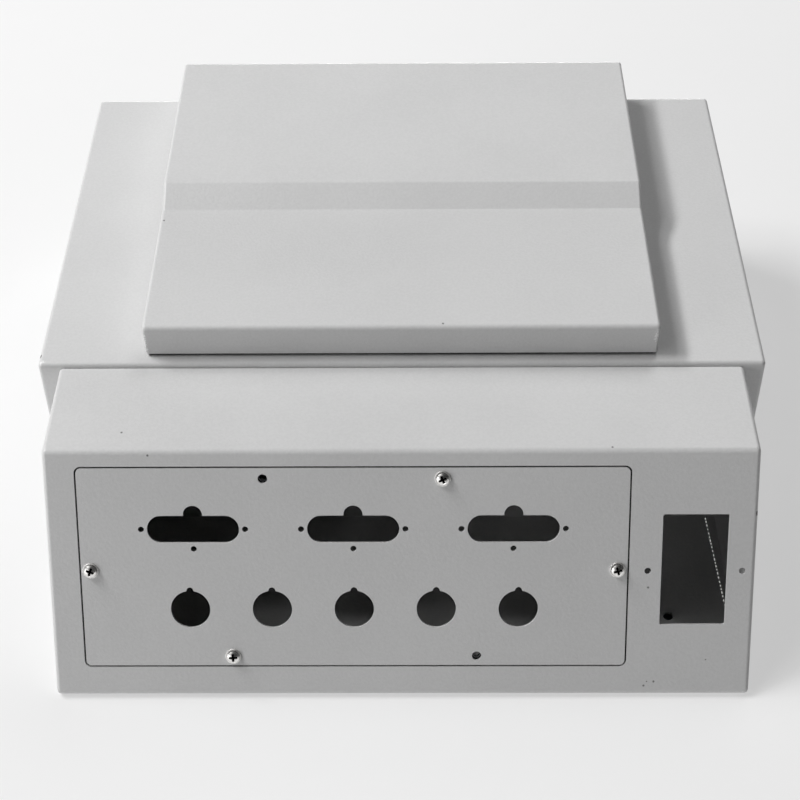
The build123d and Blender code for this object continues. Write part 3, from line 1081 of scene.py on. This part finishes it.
@dataclass(frozen=True)
class LidGasket:
    """The rubber strip under the lid's turned-in edges."""

    width: float = 8.0 * MM
    corner: float = 3.0 * MM
    least_corner: float = 0.3 * MM
    power: float = 0.45
    section_points: int = 16
    arc_points: int = 9

    def build(self, finish: bpy.types.Material) -> bpy.types.Object:
        """Carries a rounded section along a rounded rectangle.

        A point set in by d has corner radius max(r − d, the least), about centres set in as far again. The
        section is a superellipse across the strip's width and thickness.

        Args:
            finish: the rubber.

        Returns:
            The strip.
        """
        low, high = (np.array(corner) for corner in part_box("lid_gasket"))
        middle, half = (low + high) / 2, (high - low) / 2
        t = around(self.section_points)[:, None]
        inward = self.width / 2 * (1 - signed_power(np.cos(t), self.power))
        rise = half[2] * signed_power(np.sin(t), self.power)
        quarter = np.linspace(0, math.pi / 2, self.arc_points)
        angles = np.concatenate([quarter + k * math.pi / 2 for k in range(4)])
        across = np.repeat([1, -1, -1, 1], self.arc_points)
        along = np.repeat([1, 1, -1, -1], self.arc_points)
        radius = np.maximum(self.corner - inward, self.least_corner)
        x = middle[0] + across * (half[0] - inward - radius) + radius * np.cos(angles)
        y = middle[1] + along * (half[1] - inward - radius) + radius * np.sin(angles)
        z = middle[2] + rise + 0 * angles
        strip = Surface(np.stack([x, y, z], axis=-1), wrap_rows=True)
        return make_piece("lid_gasket_strip", [strip], finish, Body.HOUSING, ["lid_gasket"])


@dataclass(frozen=True)
class FloorSeam:
    """The stitches where the console's floor meets its side wall, bright from a painted glow that stands for
    light coming through the seam.
    """

    rear: Triple = (193.0 * MM, -73.0 * MM, 1.5 * MM)
    front: Triple = (196.0 * MM, -145.3 * MM, 1.5 * MM)
    count: int = 24
    half_width: float = 0.3 * MM
    height: float = 0.45 * MM
    shortest: float = 0.14
    length_spread: float = 0.24
    gap_spread: float = 0.15

    def build(self, finish: bpy.types.Material) -> bpy.types.Object:
        """Lays flattened ellipsoids end to end along each side, of uneven length and gap.

        Args:
            finish: the bare metal, with its painted glow.

        Returns:
            The stitches.
        """
        number = np.arange(self.count)
        step = np.linalg.norm(np.subtract(self.front, self.rear)) / self.count
        uneven = 0.5 + 0.5 * np.sin(number * 2.4) * np.cos(number * 1.1)
        lengths = step * (self.shortest + self.length_spread * uneven)
        share = (number + 0.5 + self.gap_spread * np.sin(number * 5.3)) / self.count
        turn, tilt = np.meshgrid(around(8), np.linspace(-math.pi / 2, math.pi / 2, 6))
        ball = np.stack([np.cos(tilt) * np.cos(turn), np.cos(tilt) * np.sin(turn), np.sin(tilt)], axis=-1)
        surfaces = []
        for side in (1, -1):
            ends = np.array([self.rear, self.front]) * (side, 1, 1)
            centres = ends[0] + share[:, None] * (ends[1] - ends[0])
            for centre, length in zip(centres, lengths):
                surfaces.append(Surface(centre + ball * (self.half_width, length, self.height)))
        return make_piece("console_floor_glowing_stitches", surfaces, finish, Body.HOUSING)


@dataclass
class ConsoleHousing:
    """The whole part: its painted sheets, its fasteners, hinges, gasket and earth terminal."""

    paint: bpy.types.Material = field(default_factory=PowderCoat().material)
    gap_shade: bpy.types.Material = field(default_factory=PaintedGapShade().material)
    rubber: bpy.types.Material = field(default_factory=CellRubber().material)
    nickel: bpy.types.Material = field(default_factory=NICKEL.material)
    bright_nickel: bpy.types.Material = field(default_factory=BRIGHT_NICKEL.material)
    zinc: bpy.types.Material = field(default_factory=ZINC.material)
    glowing_stitch: bpy.types.Material = field(default_factory=PAINTED_GLOW_SEAM.material)
    hinge: bpy.types.Material = field(default_factory=HINGE_STEEL.material)
    small_nut: HexNut = HexNut(7.0 * MM, 2.1 * MM)
    medium_nut: HexNut = HexNut(8.0 * MM, 2.6 * MM)
    large_nut: HexNut = HexNut(10.0 * MM, 3.1 * MM)
    panel_washer: Washer = Washer(2.2 * MM, 4.5 * MM)
    earth_washer: Washer = Washer(3.2 * MM, 6.0 * MM)
    screw_turns: tuple[float, ...] = (-20.0, 2.0, 22.0, 16.0)
    panel_nut_turns: tuple[float, ...] = (30.0, 8.0, 51.0)
    hidden_turns: tuple[float, ...] = (10.0, 47.0, 25.0, 33.0, 3.0, 58.0)
    earth_nut_turns: tuple[float, ...] = (17.0,)

    def dress_sheets(self) -> None:
        """Paints the folded sheets and plates, and gives the hinges their steel."""
        dress(["housing_shell", "console_shell", "connector_panel", "lid", "base_plate"], self.paint)
        # The frame behind the panel's gap is near black: painted shade for the deep gap.
        dress(["panel_frame"], self.gap_shade)
        for side in ("left", "right"):
            dress([f"{side}_hinge_{part}" for part in ("housing_leaf", "lid_leaf", "pin")], self.hinge)

    def build_panel_fasteners(self) -> None:
        """The connector panel's screws, washers and nuts."""
        plane, turns = panel_plane(), self.screw_turns
        Fasteners("panel_screws", plane, PanHead().shape, self.nickel, Slot.PANEL, turns=turns).build()
        Fasteners("panel_washers", plane, self.panel_washer.shape, self.bright_nickel, Slot.PANEL).build()
        turns = self.panel_nut_turns
        Fasteners("panel_weld_nuts", plane, self.small_nut.shape, self.zinc, Slot.ZINC, turns=turns).build()

    def build_hidden_fasteners(self) -> None:
        """What holds the base plate, the console and the hinges, and the earth terminal."""
        floor = flat_plane(0.0)
        nearest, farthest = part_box("housing_shell")
        front, rear = wall_plane(nearest.y, facing_back=False), wall_plane(farthest.y, facing_back=True)
        turns, rivet, straight = self.hidden_turns, BlindRivet(), (0.0,)
        for node, plane, kind, body, angles in (
            ("base_screws", floor, SunkHead(), Body.HOUSING, turns),
            ("base_weld_nuts", floor, self.small_nut, Body.HOUSING, turns),
            ("console_bolts", front, HexBolt(), Body.HOUSING, turns),
            ("console_nuts", front, self.medium_nut, Body.HOUSING, turns),
            ("hinge_housing_rivets", rear, rivet, Body.HOUSING, straight),
            ("hinge_lid_rivets", rear, rivet, Body.LID, straight),
            ("earth_stud", floor, Stud(), Body.HOUSING, straight),
            ("earth_stud_washers", floor, self.earth_washer, Body.HOUSING, straight),
            ("earth_stud_nut", floor, self.large_nut, Body.HOUSING, self.earth_nut_turns),
        ):
            Fasteners(node, plane, kind.shape, self.zinc, Slot.ZINC, body, angles).build()

    def build(self) -> None:
        """Builds everything in order."""
        self.dress_sheets()
        self.build_panel_fasteners()
        self.build_hidden_fasteners()
        LidGasket().build(self.rubber)
        FloorSeam().build(self.glowing_stitch)


# Studio


@dataclass(frozen=True)
class SoftBox:
    """A rectangular lamp that faces the part: its bearing, its width and height, and its power.

    Azimuth runs from the front, positive to the left, and elevation up from the floor, both in degrees.
    """

    name: str
    azimuth: float
    elevation: float
    size: tuple[float, float]
    power: float
    far: float = 3.5
    aim: Triple = (0.0, 0.02, 0.1)

    def build(self) -> bpy.types.Object:
        """Adds the lamp.

        Returns:
            The lamp.
        """
        light = bpy.data.lights.new(self.name, "AREA")
        light.shape = "RECTANGLE"
        light.size, light.size_y = self.size
        light.energy = self.power
        lamp = bpy.data.objects.new(self.name, light)
        bpy.context.scene.collection.objects.link(lamp)
        turn, rise = math.radians(self.azimuth), math.radians(self.elevation)
        way = Vector((-math.cos(rise) * math.sin(turn), -math.cos(rise) * math.cos(turn), math.sin(rise)))
        lamp.location = Vector(self.aim) + way * self.far
        lamp.rotation_euler = (-way).to_track_quat("-Z", "Y").to_euler()
        return lamp


@dataclass(frozen=True)
class Studio:
    """A pale floor, soft light from the left and behind, and the photograph's camera."""

    lamps: tuple[SoftBox, ...] = (
        SoftBox("left_strip", 106.0, 50.0, (2.0, 0.42), 86.0),
        SoftBox("left_strip_high", 99.0, 61.0, (2.0, 0.42), 24.0),
        SoftBox("rear_left", 150.0, 52.0, (1.4, 1.4), 1.5),
        SoftBox("rear_edge", 180.0, 5.0, (2.0, 0.25), 36.0),
        SoftBox("rear_right", 205.0, 52.0, (1.4, 1.4), 23.0),
        SoftBox("front_left_low", 50.0, 10.0, (1.4, 1.4), 29.0),
        SoftBox("front_left", 50.0, 45.0, (1.4, 1.4), 4.0),
    )
    ambient: float = 0.0
    floor_level: float = 0.45
    floor_glow: float = 0.45
    floor_reach: float = 80.0
    speckle_size: float = 40 * MM
    under_shade_level: float = 0.02
    under_shade_edge: tuple[float, float] = (0.85, 0.93)
    eye: Triple = (0.00949, -0.76655, 0.78965)
    pitch: float = 44.5356
    yaw: float = 0.8555
    roll: float = -0.7630
    focal_share: float = 1635.85 / 800
    sensor: float = 36.0

    def build_camera(self) -> None:
        """Sets the camera: turned about Z by the yaw, down by the pitch, and on its own axis by the roll."""
        lens = bpy.data.cameras.new("photo_camera")
        lens.sensor_fit = "HORIZONTAL"
        lens.sensor_width = self.sensor
        lens.lens = self.focal_share * self.sensor
        camera = bpy.data.objects.new("photo_camera", lens)
        bpy.context.scene.collection.objects.link(camera)
        turn = (
            Matrix.Rotation(math.radians(self.yaw), 4, "Z")
            @ Matrix.Rotation(math.radians(90 - self.pitch), 4, "X")
            @ Matrix.Rotation(math.radians(self.roll), 4, "Z")
        )
        camera.matrix_world = Matrix.Translation(self.eye) @ turn
        bpy.context.scene.camera = camera

    def build_floor(self) -> None:
        """Lays a pale floor that glows a little, so that it stays near white. Under the part it is near black
        and gives no glow: painted shade.
        """
        kit = ShaderKit("pale_floor")
        low, high = (np.array(corner) for corner in cad_box)
        share = kit.shares(tuple((low + high) / 2), tuple((high - low) / 2))
        across, along = (kit.field("ShaderNodeSeparateXYZ", {}, {0: share}, axis) for axis in "XY")
        # Painted shade: under the part the floor is near black and does not glow.
        shaded_under = 1 - across.size().at_least(along.size()).eased(*self.under_shade_edge)
        speckle = kit.noise(self.speckle_size)
        tone = kit.mixed(speckle, grey(self.floor_level * 0.98), grey(self.floor_level))
        material = kit.finish(
            Base_Color=kit.mixed(shaded_under, tone, grey(self.under_shade_level)),
            Roughness=0.9,
            Specular_IOR_Level=0.1,
            Emission_Color=kit.mixed(shaded_under, grey(1.0), grey(0.0)),
            Emission_Strength=self.floor_glow,
        )
        reach = np.linspace(-self.floor_reach, self.floor_reach, 2)
        x, y = np.meshgrid(reach, reach)
        points = np.stack([x, y, 0 * x], axis=-1).reshape(-1, 3)
        mesh = bpy.data.meshes.new("floor")
        mesh.from_pydata(points.tolist(), [], [(0, 1, 3, 2)])
        mesh.materials.append(material)
        floor = bpy.data.objects.new("floor", mesh)
        bpy.context.scene.collection.objects.link(floor)

    def build_ambient(self) -> None:
        """Sets the room's even light. At 0, all light comes from the lamps and the floor."""
        world = bpy.data.worlds.new("room")
        bpy.context.scene.world = world
        world.use_nodes = True
        background = world.node_tree.nodes["Background"]
        background.inputs["Color"].default_value = grey(1.0)
        background.inputs["Strength"].default_value = self.ambient

    def build(self) -> None:
        """Builds the camera, the floor and the light."""
        self.build_camera()
        self.build_floor()
        self.build_ambient()
        for lamp in self.lamps:
            lamp.build()
        bpy.context.scene.view_settings.view_transform = "Standard"
        LOG.info("studio: %d lamps", len(self.lamps))


def main() -> None:
    """Builds the part and its studio, and reports each piece."""
    logging.basicConfig(level=logging.INFO, format="%(message)s")
    ConsoleHousing().build()
    Studio().build()


if __name__ == "__main__":
    main()
